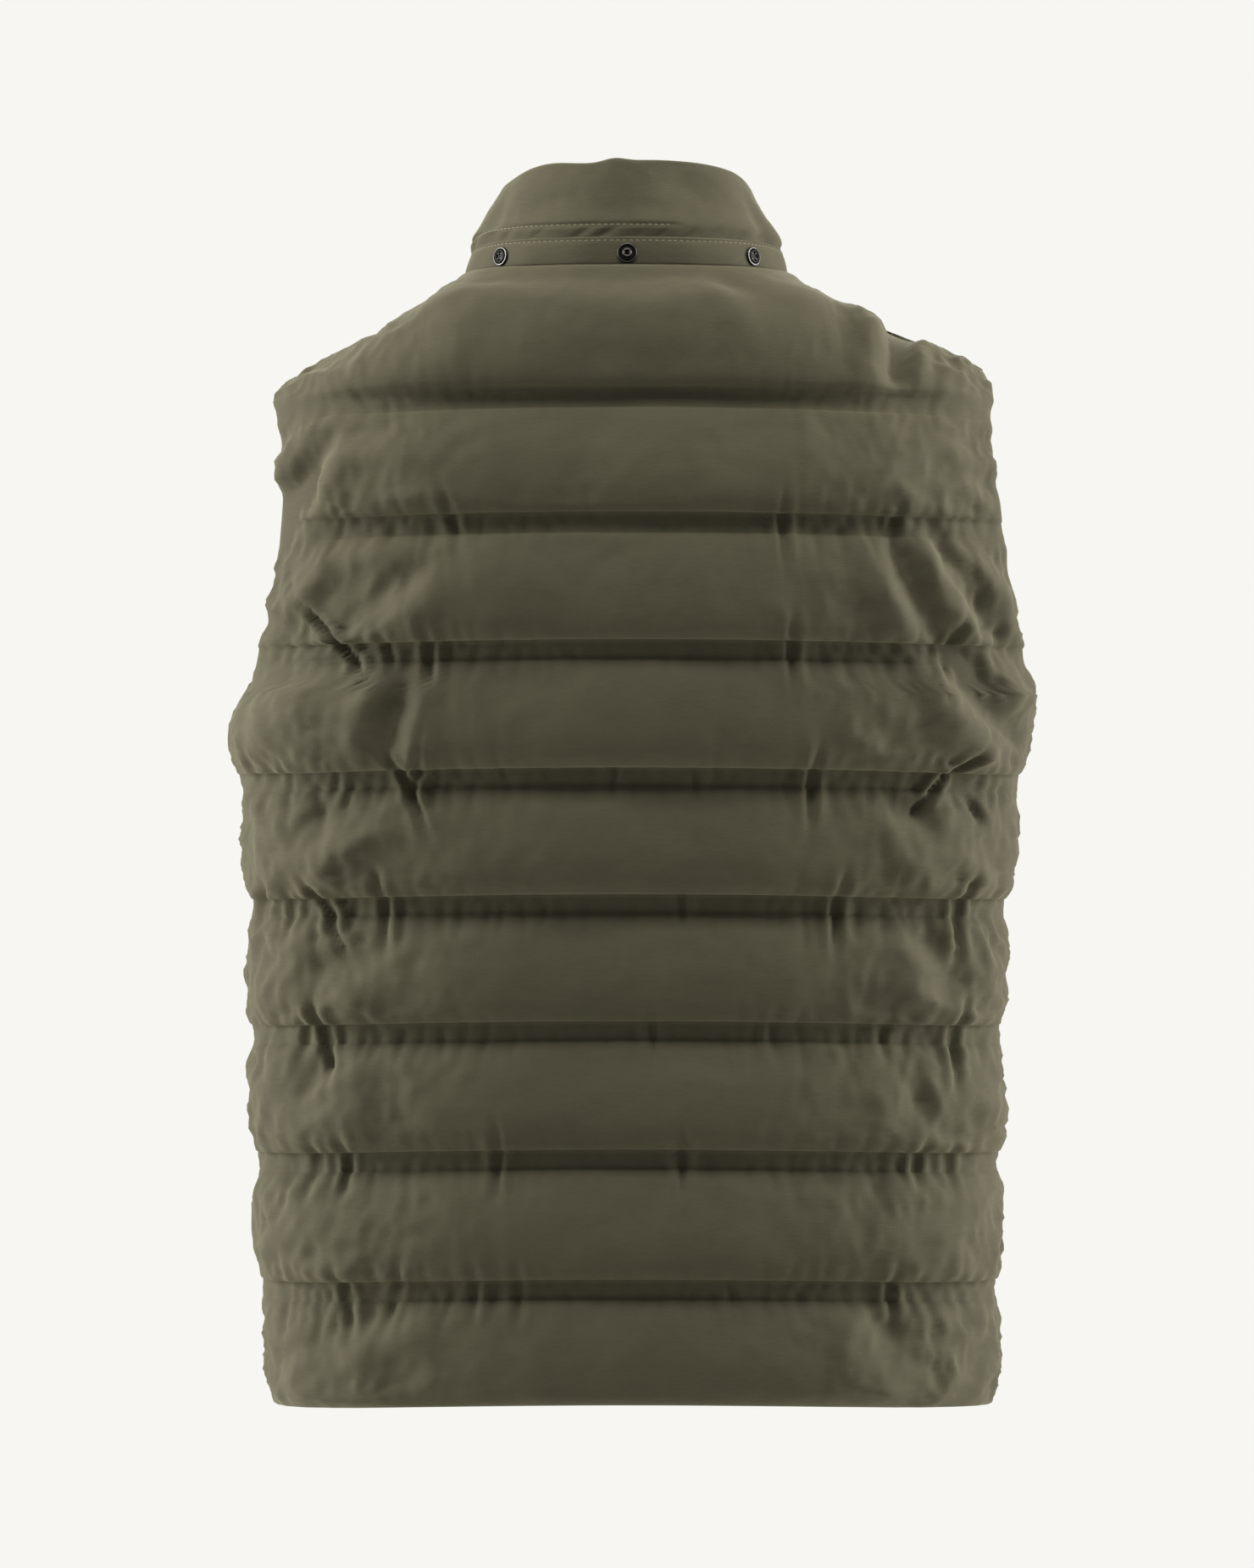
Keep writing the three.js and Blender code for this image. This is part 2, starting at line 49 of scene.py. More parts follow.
eye = bpy.data.cameras.new("long_lens")
eye.sensor_fit = "VERTICAL"
eye.sensor_height = 24
eye.lens = eye.sensor_height * EYE_DISTANCE / VIEW_HEIGHT
eye.clip_end = 100
camera = bpy.data.objects.new("camera", eye)
camera.location = (0, -EYE_DISTANCE, MIDDLE_HEIGHT)
camera.rotation_euler = (math.radians(90), 0, 0)
scene = bpy.context.scene
scene.collection.objects.link(camera)
scene.camera = camera
scene.view_settings.view_transform = "Standard"

# ---------------------------------------------------------------------------------------------
# Studio. A pale floor at a standing wearer's feet, two tall soft boxes level with the vest's sides
# and one over it, and an even off-white surround.
FLOOR_HEIGHT = -1.45


def add_node(tree, kind, links=(), **settings):
    """One shader node with its settings. A link is (input, node, output)."""
    node = tree.nodes.new(kind)
    for key, value in settings.items():
        if key in node.inputs:
            node.inputs[key].default_value = value
        elif key.startswith("in_"):
            node.inputs[int(key[3:])].default_value = value
        else:
            setattr(node, key, value)
    for to, source, output in links:
        tree.links.new(source.outputs[output], node.inputs[to])
    return node


def srgb(code):
    """A colour written as sRGB hex, as the linear values that shaders take."""
    parts = [int(code[k : k + 2], 16) / 255 for k in (1, 3, 5)]
    return [c / 12.92 if c <= 0.04045 else ((c + 0.055) / 1.055) ** 2.4 for c in parts] + [1]


def link_object(name, mesh, *materials):
    thing = bpy.data.objects.new(name, mesh)
    scene.collection.objects.link(thing)
    for material in materials:
        mesh.materials.append(material)
    return thing


world = bpy.data.worlds.new("surround")
scene.world = world
world.use_nodes = True
tree = world.node_tree
tree.nodes.clear()
path = add_node(tree, "ShaderNodeLightPath")
seen = add_node(
    tree, "ShaderNodeMath", operation="ADD", use_clamp=True,
    links=[(0, path, "Is Camera Ray"), (1, path, "Is Glossy Ray")],
)
seen = add_node(
    tree, "ShaderNodeMath", operation="ADD", use_clamp=True,
    links=[(0, seen, 0), (1, path, "Is Transmission Ray")],
)
fill = add_node(tree, "ShaderNodeBackground", Color=srgb("#f4f6fa"), Strength=0.16)
paper = add_node(tree, "ShaderNodeBackground", Color=srgb("#f7f6f2"), Strength=1)
both = add_node(tree, "ShaderNodeMixShader", links=[(0, seen, 0), (1, fill, 0), (2, paper, 0)])
add_node(tree, "ShaderNodeOutputWorld", links=[(0, both, 0)])

floor_paint = bpy.data.materials.new("matt_pale_floor")
floor_paint.use_nodes = True
floor_paint.node_tree.nodes["Principled BSDF"].inputs["Base Color"].default_value = srgb("#efeeea")
floor_paint.node_tree.nodes["Principled BSDF"].inputs["Roughness"].default_value = 0.9
bm = bmesh.new()
bmesh.ops.create_grid(bm, x_segments=1, y_segments=1, size=4)
bmesh.ops.translate(bm, verts=bm.verts, vec=(0, 0, FLOOR_HEIGHT))
mesh = bpy.data.meshes.new("floor")
bm.to_mesh(mesh)
bm.free()
link_object("floor", mesh, floor_paint)

LAMPS = [
    # name, place, width, height, watts
    ("soft_box_left", (-2.2, -0.05, 0.1), 1.0, 2.0, 84),
    ("soft_box_right", (2.2, 0.0, 0.1), 1.0, 2.0, 74),
    ("soft_box_over", (0.0, -0.9, 1.45), 1.8, 0.6, 30),
    ("soft_box_far", (0.0, 2.6, 0.9), 1.6, 1.6, 30),
]
for name, place, width, height, watts in LAMPS:
    lamp = bpy.data.lights.new(name, "AREA")
    lamp.shape = "RECTANGLE"
    lamp.size = width
    lamp.size_y = height
    lamp.energy = watts
    thing = bpy.data.objects.new(name, lamp)
    thing.location = place
    aim = Vector((0, 0, -0.3)) - Vector(place)
    thing.rotation_euler = aim.to_track_quat("-Z", "Y").to_euler()
    scene.collection.objects.link(thing)

# ---------------------------------------------------------------------------------------------
# Padded panels: the back and the two fronts. Each is a shell and a lining of matt cotton and nylon
# cloth with down between them, bonded flat in eight level strips and sewn to its neighbours at the
# shoulders and sides. The body form is the same one that the solids are built on, in millimetres.
MM = 0.001
SEAM_GAP = 0.3
FLAT_WALL = 3.0
PUFF = 15.0
LINING_SHARE = 0.22
SIDE_PUFF = 0.2
GUTTER_WIDTH = 11.0
GUTTERS = [-48.0]
for k in range(7):
    GUTTERS.append(GUTTERS[-1] - (72.8 + 0.44 * k))
HEM = -634.0
SIDE_DROP = 5.0
YOKE_START = GUTTERS[0] + GUTTER_WIDTH / 2
ROUNDNESS = 2.6
SECTIONS = np.array([
    # height, left, right, back, front
    (-634, 205, 213, 114, 118),
    (-566, 214, 217, 113, 121),
    (-491, 217, 218, 109, 121),
    (-415, 220, 219, 106, 120),
    (-341, 220, 222, 108, 120),
    (-268, 227, 230, 115, 122),
    (-235, 229, 235, 119, 123),
    (-194, 220, 237, 123, 122),
    (-121, 216, 234, 122, 115),
    (-48, 211, 219, 110, 102),
], float)
LEFT, RIGHT, BACK, FRONT = 1, 2, 3, 4
NECK = dict(half=90, back=76, front=80, back_height=30, front_height=-28, dip=3.3)
COLLAR_TOP = dict(half=69, back=66, front=68, back_height=93, front_height=48, dip=2.2)
SHOULDER_SEAM_Y = -6.0
SHOULDER_START = 14.0
SHOULDER_TIP = {-1: (205, -38), 1: (211, -28)}
ARMHOLE_TOP = -28.0
ARMHOLE_HALF = 58.0
ARMHOLE_CURVE = 2.2
CHANNEL = GUTTERS[2] - GUTTERS[3] - GUTTER_WIDTH
ARMHOLE_BOTTOM = GUTTERS[3] + GUTTER_WIDTH / 2 + 0.78 * CHANNEL
NECK_WALL = 7.3
ZIP_EDGE = 6.3
HEM_SHARE = 0.03  # the last channel is turned under before it closes
NECK_SHARE = 0.5  # share of a half panel's columns that end on the neck line


def smooth(t):
    t = np.clip(t, 0, 1)
    return t * t * (3 - 2 * t)


def section_value(column, height):
    """A smooth curve through a column of the table of sections."""
    table = SECTIONS[:, (0, column)]
    h = min(max(height, table[0, 0]), table[-1, 0])
    i = int(np.clip(np.searchsorted(table[:, 0], h, side="left") - 1, 0, len(table) - 2))
    slopes = []
    for k in (i, i + 1):
        a, b = table[max(k - 1, 0)], table[min(k + 1, len(table) - 1)]
        slopes.append((b[1] - a[1]) / (b[0] - a[0]))
    step = table[i + 1, 0] - table[i, 0]
    t = (h - table[i, 0]) / step
    return (
        table[i, 1] * (2 * t**3 - 3 * t**2 + 1)
        + table[i + 1, 1] * (3 * t**2 - 2 * t**3)
        + slopes[0] * step * (t**3 - 2 * t**2 + t)
        + slopes[1] * step * (t**3 - t**2)
    )


def armhole_half(height):
    middle = (ARMHOLE_TOP + ARMHOLE_BOTTOM) / 2
    away = abs(height - middle) / (ARMHOLE_TOP - middle)
    return ARMHOLE_HALF * math.sqrt(1 - away**ARMHOLE_CURVE) if away < 1 else 0.0


def section_arc(side, hand, height, start, shares):
    """Points of the body form at a height, from x = start round to the edge, by share of arc."""
    half = section_value(RIGHT if hand > 0 else LEFT, height)
    depth = section_value(BACK if side < 0 else FRONT, height)
    first = math.asin((start / half) ** (ROUNDNESS / 2))
    last = math.acos((armhole_half(height) / depth) ** (ROUNDNESS / 2))
    a = np.linspace(first, last, 80)
    x = hand * half * np.sin(a) ** (2 / ROUNDNESS)
    y = side * depth * np.maximum(np.cos(a), 0) ** (2 / ROUNDNESS)
    length = np.concatenate([[0], np.cumsum(np.hypot(np.diff(x), np.diff(y)))])
    at = shares * length[-1]
    x, y = np.interp(at, length, x), np.interp(at, length, y)
    return np.stack([x, y, height - SIDE_DROP * (x / half) ** 2], 1), length[-1]


def neck_point(ring, angle):
    """A point of the neck line or of the collar's top: angle 0 is the middle of the back."""
    c = np.cos(angle)
    depth = np.where(c > 0, ring["back"], ring["front"])
    fall = ((1 - c) / 2) ** ring["dip"]
    height = ring["back_height"] + (ring["front_height"] - ring["back_height"]) * fall
    return np.stack([ring["half"] * np.sin(angle), -depth * c, height], -1)


def neck_out(angle):
    return np.stack([np.sin(angle), -np.cos(angle), 0 * angle], -1)


def front_angle(x):
    return math.pi - math.asin(x / NECK["half"])


def top_edge(side, hand, shares):
    """The neck line and the shoulder seam, from the middle out, with the ways out of them."""
    first = 0.0 if side < 0 else front_angle(ZIP_EDGE)
    on_neck = np.clip(shares / NECK_SHARE, 0, 1)
    angle = hand * (first + (math.pi / 2 - first) * on_neck)
    at = neck_point(NECK, angle)
    out = neck_out(angle)
    t = np.clip((shares - NECK_SHARE) / (1 - NECK_SHARE), 0, 1)
    bend = np.exp(-5 * t)
    tip_x, tip_z = SHOULDER_TIP[hand]
    corner = neck_point(NECK, np.array(hand * math.pi / 2))
    seam = np.stack([
        corner[0] + (hand * tip_x - corner[0]) * t,
        SHOULDER_SEAM_Y + (corner[1] - SHOULDER_SEAM_Y) * bend,
        (SHOULDER_START + (tip_z - SHOULDER_START) * t) * (1 - bend) + corner[2] * bend,
    ], 1)
    beside = smooth((shares - NECK_SHARE) / 0.04)[:, None]
    at = at * (1 - beside) + seam * beside
    up = np.array([0.37 * hand, 0, 0.93])
    return at, out * (1 - beside) + up * beside, beside[:, 0]


# Rows of a panel, from the hem up: where each lies in its channel, or on a bonded strip.
ROWS_IN_CHANNEL = 23
ROWS_ON_STRIP = 4
ROWS_IN_YOKE = 33


def panel_rows():
    """Each row's height, share of the yoke, place in its channel from the foot, and channel."""
    rows = []
    channel = len(GUTTERS)
    low = HEM
    for strip in GUTTERS[::-1]:
        high = strip - GUTTER_WIDTH / 2
        for i in range(ROWS_IN_CHANNEL + 1):
            t = 0.5 - 0.5 * math.cos(math.pi * i / ROWS_IN_CHANNEL)
            t = 0.6 * t + 0.4 * i / ROWS_IN_CHANNEL
            rows.append((low + (high - low) * t, 0.0, t, channel))
        for i in range(1, ROWS_ON_STRIP):
            rows.append((high + GUTTER_WIDTH * i / ROWS_ON_STRIP, 0.0, -1, channel))
        low = strip + GUTTER_WIDTH / 2
        channel -= 1
    for i in range(ROWS_IN_YOKE):
        t = i / (ROWS_IN_YOKE - 1)
        rows.append((YOKE_START, t, t, 0))
    return rows


ROWS = panel_rows()
ROW_HEIGHTS = np.array([r[0] for r in ROWS])
ROW_YOKE = np.array([r[1] for r in ROWS])
ROW_PLACE = np.array([r[2] for r in ROWS])
ROW_CHANNEL = np.array([r[3] for r in ROWS])


def body_form(side, hand, shares):
    """Half a panel on the body form: rows from the hem up, columns from the middle out."""
    start = 0.0 if side < 0 else ZIP_EDGE
    top, out, beside = top_edge(side, hand, shares)
    corner = np.radians(35) * smooth((shares - 0.38) / 0.12) * side * hand
    spin = out.copy()
    spin[:, 0] = out[:, 0] * np.cos(corner) - out[:, 1] * np.sin(corner)
    spin[:, 1] = out[:, 0] * np.sin(corner) + out[:, 1] * np.cos(corner)
    base, arc = section_arc(side, hand, YOKE_START, start, shares)
    reach = np.minimum(11, 0.16 * np.linalg.norm(top - base, axis=1)) * (1 - beside)
    spread = top + spin * reach[:, None]
    spread[:, 2] = top[:, 2] - 0.14 * reach
    turn = np.radians(52 + 28 * np.clip(shares / NECK_SHARE, 0, 1))
    grid = np.empty((len(ROWS), len(shares), 3))
    for i, (height, yoke, _, _) in enumerate(ROWS):
        if ROW_CHANNEL[i] > 0:
            grid[i], _ = section_arc(side, hand, height, start, shares)
            continue
        share = min(yoke / 0.93, 1)
        a = share * turn
        p = np.empty_like(base)
        p[:, 0] = base[:, 0] + (spread[:, 0] - base[:, 0]) * share
        y_share = (1 - np.cos(a)) / (1 - np.cos(turn))
        p[:, 1] = base[:, 1] + (spread[:, 1] - base[:, 1]) * y_share
        p[:, 2] = base[:, 2] + (spread[:, 2] - base[:, 2]) * np.sin(a) / np.sin(turn)
        last = max(0.0, (yoke - 0.93) / 0.07)
        # The fan of columns over the neck's corner is evened out, but not at the seams.
        even = p.copy()
        for _ in range(60):
            even[1:-1] = (even[:-2] + 2 * even[1:-1] + even[2:]) / 4
        p += (even - p) * math.sin(math.pi * share)
        grid[i] = p + (top - p) * last
    return grid, top, out, beside


def channel_fill(place):
    """How full a channel stands at a place from its foot: the down has sunk."""
    t = np.clip(place, 0, 1)
    return np.where(place < 0, 0, np.sin(np.pi * t**0.72) ** 0.62)


# Creases of the back, in millimetres on the panel: x and height of both ends, width and depth of
# the trough, and how high the cloth stands on its upper side.
BACK_FOLDS = [
    # x1, z1, x2, z2, width, depth, lip
    (-181, -88, -207, -138, 7, 6.5, 3.0),
    (-170, -74, -186, -118, 6, 4.0, 2.0),
    (-118, -148, -166, -188, 8, 5.0, 3.0),
    (-140, -146, -178, -170, 6, 3.0, 2.0),
    (-160, -176, -205, -190, 7, 4.5, 2.5),
    (-176, -208, -226, -222, 8, 5.0, 3.0),
    (-128, -216, -137, -262, 6, 4.0, 2.5),
    (-150, -282, -196, -300, 8, 3.0, 2.0),
    (163, -2, 157, -46, 7, 8.5, 3.0),
    (172, -44, 178, -16, 6, 3.0, 1.5),
    (140, 8, 156, -12, 6, 3.5, 2.0),
    (150, -126, 204, -214, 7, 4.5, 3.0),
    (178, -128, 214, -190, 6, 4.5, 2.5),
    (186, -192, 230, -246, 8, 7.0, 4.0),
    (196, -150, 226, -206, 6, 4.0, 2.0),
    (188, -258, 206, -292, 7, 5.0, 2.5),
    (150, -282, 184, -292, 8, 3.0, 2.0),
    (-150, -372, -184, -392, 9, 3.0, 2.0),
    (-166, -430, -190, -470, 9, 3.0, 1.5),
    (170, -352, 196, -402, 8, 3.0, 1.5),
    (160, -440, 188, -482, 9, 3.0, 1.5),
    (-130, -574, -176, -600, 10, 3.0, 1.5),
    (138, -574, 178, -612, 10, 3.0, 1.5),
    (-20, -24, 60, -18, 10, 1.5, 1.0),
    (54, 18, 96, 2, 7, 2.5, 1.0),
]
FRONT_FOLDS = [
    (150, -136, 204, -206, 7, 5.0, 3.0),
    (182, -100, 208, -150, 7, 5.5, 2.5),
    (120, -150, 168, -188, 8, 4.5, 2.5),
    (186, -204, 226, -236, 8, 5.0, 3.0),
    (-150, -140, -196, -206, 7, 5.0, 3.0),
    (-178, -92, -204, -140, 7, 5.5, 2.5),
    (-112, -152, -160, -180, 8, 4.0, 2.5),
    (-160, -12, -156, -48, 7, 5.0, 2.5),
    (148, -360, 186, -396, 9, 3.0, 2.0),
    (-146, -430, -182, -470, 9, 3.0, 1.5),
]
# Pinches across the bonded strips: strip, x, reach above and below, depth and slant.
BACK_PINCHES = [
    (1, 90, 9, 10, 3.6, 0.0), (1, -100, 12, 6, 1.8, -0.2), (1, 154, 6, 8, 2.0, 0.1),
    (2, -160, 26, 10, 5.0, -0.7), (2, -137, 8, 5, 2.4, -0.2), (2, -114, 9, 9, 3.4, -0.1),
    (2, 95, 10, 10, 3.8, 0.0), (2, 185, 16, 12, 4.2, 0.2),
    (3, -128, 12, 15, 4.4, -0.5), (3, -122, 16, 6, 3.0, 0.2), (3, -168, 8, 6, 2.0, 0.1),
    (3, 107, 12, 12, 4.2, 0.1), (3, 180, 18, 10, 4.6, 0.8), (3, 192, 8, 14, 3.6, -0.5),
    (3, 40, 5, 6, 1.4, 0.0), (3, -8, 5, 5, 1.2, 0.0),
    (4, -211, 12, 12, 4.0, 0.3), (4, -194, 8, 8, 2.6, 0.0), (4, -173, 12, 14, 4.6, -0.5),
    (4, -140, 14, 12, 3.6, -0.1), (4, 121, 12, 12, 4.0, 0.1), (4, 191, 15, 16, 4.6, 0.2),
    (4, 32, 6, 6, 1.6, 0.0),
    (5, -174, 15, 16, 4.0, -0.2), (5, 15, 6, 6, 1.8, 0.0), (5, 84, 7, 6, 1.6, 0.0),
    (5, 189, 14, 20, 4.0, 0.1), (5, 148, 6, 6, 1.8, 0.0), (5, -186, 6, 6, 2.0, 0.0),
    (6, -179, 10, 8, 3.4, 0.1), (6, -161, 9, 9, 3.8, 0.0), (6, -75, 10, 9, 3.8, 0.0),
    (6, 32, 8, 8, 3.6, 0.0), (6, 167, 9, 8, 3.6, 0.1), (6, 186, 8, 6, 2.4, 0.0),
    (7, -162, 8, 14, 3.4, -0.2), (7, -133, 9, 10, 3.0, 0.2), (7, -88, 8, 8, 2.4, 0.0),
    (7, -63, 9, 7, 2.6, 0.0), (7, 152, 10, 8, 3.2, 0.0), (7, 60, 5, 5, 1.4, 0.0),
]
rng = random.Random(14)
FRONT_PINCHES = []
for strip in range(1, 8):
    for hand in (-1, 1):
        for _ in range(4):
            FRONT_PINCHES.append((
                strip, hand * rng.uniform(40, 195), rng.uniform(6, 15), rng.uniform(6, 15),
                rng.uniform(1.8, 4.2), rng.uniform(-0.4, 0.4),
            ))
# How deep the small puckers are beside each strip, from the top one down, and how far they reach.
TICKS = [0.35, 0.75, 1.0, 1.0, 1.0, 0.9, 0.8, 1.0]
PUCKER_REACH = 46
HALF_WIDTH = 220  # of the vest, roughly, where the puckers are largest


def crease_relief(x, z, folds):
    """Troughs with a raised lip, tapering to nothing at both ends."""
    relief = np.zeros_like(x)
    for x1, z1, x2, z2, width, depth, lip in folds:
        dx, dz = x2 - x1, z2 - z1
        length = math.hypot(dx, dz)
        along = ((x - x1) * dx + (z - z1) * dz) / length
        bow = 0.07 * length * np.sin(np.pi * np.clip(along / length, 0, 1))
        across = ((x - x1) * dz - (z - z1) * dx) / length - bow
        middle = np.abs(along / length - 0.45) / 0.62
        taper = np.exp(-(middle**3) * 2.0) * (middle < 1.8)
        spread = width * (1 + 0.5 * np.clip(along / length, 0, 1.2))
        relief -= depth * taper * np.exp(-((across / spread) ** 2))
        relief += lip * taper * np.exp(-(((np.abs(across) - 2.1 * spread) / (1.2 * spread)) ** 2))
    return relief


def pucker_relief(x, z, pinches, seed):
    """Short puckers that the bonded strips gather in the cloth over and under them."""
    relief = np.zeros_like(x)
    draw = random.Random(seed)
    for strip, level in enumerate(GUTTERS):
        away = z - level
        near = np.abs(away) < PUCKER_REACH
        if not near.any():
            continue
        xs, aw = x[near], away[near]
        part = np.zeros_like(xs)
        edge = np.maximum(np.abs(aw) - GUTTER_WIDTH / 2, 0)
        for half in (-1, 1):
            at = -250 + draw.uniform(0, 8)
            while at < 250:
                outer = min(abs(at) / HALF_WIDTH, 1)
                size = (0.35 + 0.9 * outer**1.5) * draw.uniform(0.35, 1.3) * TICKS[strip]
                width = draw.uniform(1.9, 3.6)
                reach = draw.uniform(5, 11) + 10 * outer * draw.random()
                lean = draw.uniform(-0.25, 0.25)
                offset = xs - at - lean * aw
                shape = np.exp(-((offset / width) ** 2)) * np.exp(-((edge / reach) ** 2))
                part += np.where(half * aw > 0, -2.6 * size * shape, 0)
                at += draw.uniform(6.5, 15) * (1.25 - 0.45 * outer)
        for number, px, above, below, depth, slant in pinches:
            if number != strip:
                continue
            reach = np.where(aw > 0, above, below)
            offset = xs - px - slant * aw
            fall = np.exp(-((aw / (reach + 4)) ** 2))
            part -= 1.7 * depth * fall * np.exp(-((offset / 2.1) ** 2))
            part += 1.0 * depth * fall * np.exp(-(((np.abs(offset) - 5.2) / 2.7) ** 2))
        relief[near] += part
    return relief


def noise_field(points, scale, seed):
    """Slow unevenness of the filling."""
    shift = Vector((seed * 7.3, seed * 3.1, seed * 5.7))
    flat = points.reshape(-1, 3)
    values = [noise.noise(Vector(p) * scale + shift) for p in flat]
    return np.array(values).reshape(points.shape[:-1])


def grid_normals(grid, side):
    up = np.gradient(grid, axis=0)
    along = np.gradient(grid, axis=1)
    normal = np.cross(up, along) * side
    return normal / np.maximum(np.linalg.norm(normal, axis=2, keepdims=True), 1e-9)


def two_skin_mesh(name, outer, inner):
    """A closed body from an outer and an inner grid of points, joined round their edges."""
    bm = bmesh.new()
    skins = []
    for points in (outer, inner):
        rows, columns = points.shape[:2]
        made = bmesh.ops.create_grid(bm, x_segments=columns - 1, y_segments=rows - 1, size=1)
        verts = made["verts"]
        for vert, point in zip(verts, points.reshape(-1, 3)):
            vert.co = Vector(point) * MM
        skins.append(verts)
    edges = [e for e in bm.edges if e.is_boundary]
    rim = set(bmesh.ops.bridge_loops(bm, edges=edges)["faces"])
    bmesh.ops.recalc_face_normals(bm, faces=bm.faces)
    for face in bm.faces:
        face.smooth = face not in rim
    for edge in edges:
        edge.smooth = False
    # Where the skins come together in a fold, the rim between them closes up.
    bmesh.ops.remove_doubles(bm, verts=bm.verts, dist=2e-6)
    bmesh.ops.dissolve_degenerate(bm, edges=bm.edges, dist=1e-7)
    for edge in bm.edges:
        if not edge.smooth and all(face.smooth for face in edge.link_faces):
            edge.smooth = True
    mesh = bpy.data.meshes.new(name)
    bm.to_mesh(mesh)
    bm.free()
    return mesh


def padded_panel(name, side, hands, folds, pinches, seed):
    shares = np.linspace(0, 1, COLUMNS + 1)
    grids, tops, outs, besides, edges = [], [], [], [], []
    for hand in hands:
        grid, top, out, beside = body_form(side, hand, shares)
        order = slice(None, None, -1) if hand < 0 else slice(None)
        skip = slice(1, None) if grids else slice(None)
        grids.append(grid[:, order][:, skip])
        tops.append(top[order][skip])
        outs.append(out[order][skip])
        besides.append(beside[order][skip])
        edges.append(shares[order][skip])
    grid = np.concatenate(grids, axis=1)
    top, out = np.concatenate(tops), np.concatenate(outs)
    beside, share = np.concatenate(besides), np.concatenate(edges)
    normal = grid_normals(grid, side)
    side_seam = (ROW_HEIGHTS <= ARMHOLE_BOTTOM) & (ROW_CHANNEL > 0)
    hand_of = np.sign(grid[:, :, 0])
    # At the side seams both panels face straight out, so that their edges meet.
    square = smooth((share - 0.93) / 0.07)[None, :] * side_seam[:, None]
    sideways = np.stack([hand_of, 0 * hand_of, 0 * hand_of], -1)
    normal = normal * (1 - square[..., None]) + sideways * square[..., None]
    normal /= np.linalg.norm(normal, axis=2, keepdims=True)

    turned_under = HEM_SHARE + (1 - HEM_SHARE) * ROW_PLACE
    place = np.where(ROW_CHANNEL == len(GUTTERS), turned_under, ROW_PLACE)
    place = np.where(ROW_PLACE < 0, -1, place)
    flatter = 1 - 0.95 * smooth((ROW_YOKE - 0.5) / 0.4)
    fill = (channel_fill(place) * flatter)[:, None] * np.ones_like(share)[None, :]
    room = np.clip(np.abs(top[:, 2] - YOKE_START) / 72.8, 0, 1)
    fill = np.where(ROW_CHANNEL[:, None] == 0, fill * room[None, :], fill)
    fade = SIDE_PUFF + (1 - SIDE_PUFF) * smooth((1 - share) / 0.4)
    if side > 0:
        fade = fade * smooth((share - 0.02) / 0.1)
    x, z = grid[:, :, 0], grid[:, :, 2]
    # Cloth that isn't stretched crumples into small sharp ridges, most at the sides.
    slow = noise_field(grid, 0.011, seed) * 3.4 + noise_field(grid, 0.03, seed + 1) * 1.5
    fine = noise_field(grid * [1, 1, 1.8], 0.075, seed + 2) * 0.5
    bent = grid + 9 * noise_field(grid, 0.02, 40)[..., None]
    ridge = np.abs(noise_field(bent * [0.8, 0.8, 1.3], 0.034, 41))
    small = np.abs(noise_field(bent * [1, 1, 1.6], 0.08, 42))
    outward = smooth((np.abs(x) - 70) / 120)
    crumple = (0.2 - ridge) * (1.2 + 6.5 * outward) + (0.18 - small) * (0.5 + 3.2 * outward)
    drop = -SIDE_DROP * (x / 222) ** 2
    relief = 1.5 * crease_relief(x, z, folds)
    relief += pucker_relief(x, z - drop, pinches, seed)
    free = smooth(np.where(ROW_PLACE < 0, 0, np.sin(np.pi * np.clip(ROW_PLACE, 0, 1)) * 1.6))
    relief = relief * (0.6 + 0.4 * free[:, None]) * (0.45 + 0.55 * smooth((1 - share) / 0.06))
    relief = relief + crumple * (0.25 + 0.75 * free[:, None])
    relief = relief * smooth((1 - ROW_YOKE) / 0.2)[:, None]
    rise = PUFF * fade * fill + (slow + fine) * free[:, None] * np.clip(fade * 1.2, 0, 1)
    height = FLAT_WALL + np.maximum(rise + relief, -1.6)

    # The seam edge turns in, and the neck edge is as thick as what is sewn on it.
    turn_in = 1 - 0.45 * np.exp(-(((1 - share) * 270 / 3.0) ** 2))
    height = height * turn_in[None, :]
    last = np.clip((ROW_YOKE - 0.93) / 0.07, 0, 1)[:, None]
    neck = last * (1 - beside)[None, :]
    height = height * (1 - neck) + NECK_WALL * neck
    normal = normal * (1 - last[..., None]) + out[None] * last[..., None]
    outer = grid + normal * height[..., None]
    # The filling rolls down over the strip below.
    sag = np.where(ROW_PLACE < 0, 0, np.sin(np.pi * np.clip(ROW_PLACE, 0, 1) ** 0.55))
    outer[:, :, 2] -= (3.2 * sag[:, None]) * fade * (1 - last)
    inner = grid - normal * (LINING_SHARE * PUFF * fade * fill)[..., None]
    seam = (SEAM_GAP / 2) * side
    at_side = (share > 0.999)[None, :] & side_seam[:, None]
    on_shoulder = (ROW_YOKE > 0.999)[:, None] & (share >= NECK_SHARE)[None, :]
    for skin in (outer, inner):
        skin[:, :, 1] += np.where(at_side | on_shoulder, seam, 0)
    return link_object(name, two_skin_mesh(name, outer, inner[::2, ::2]), shell_cloth)


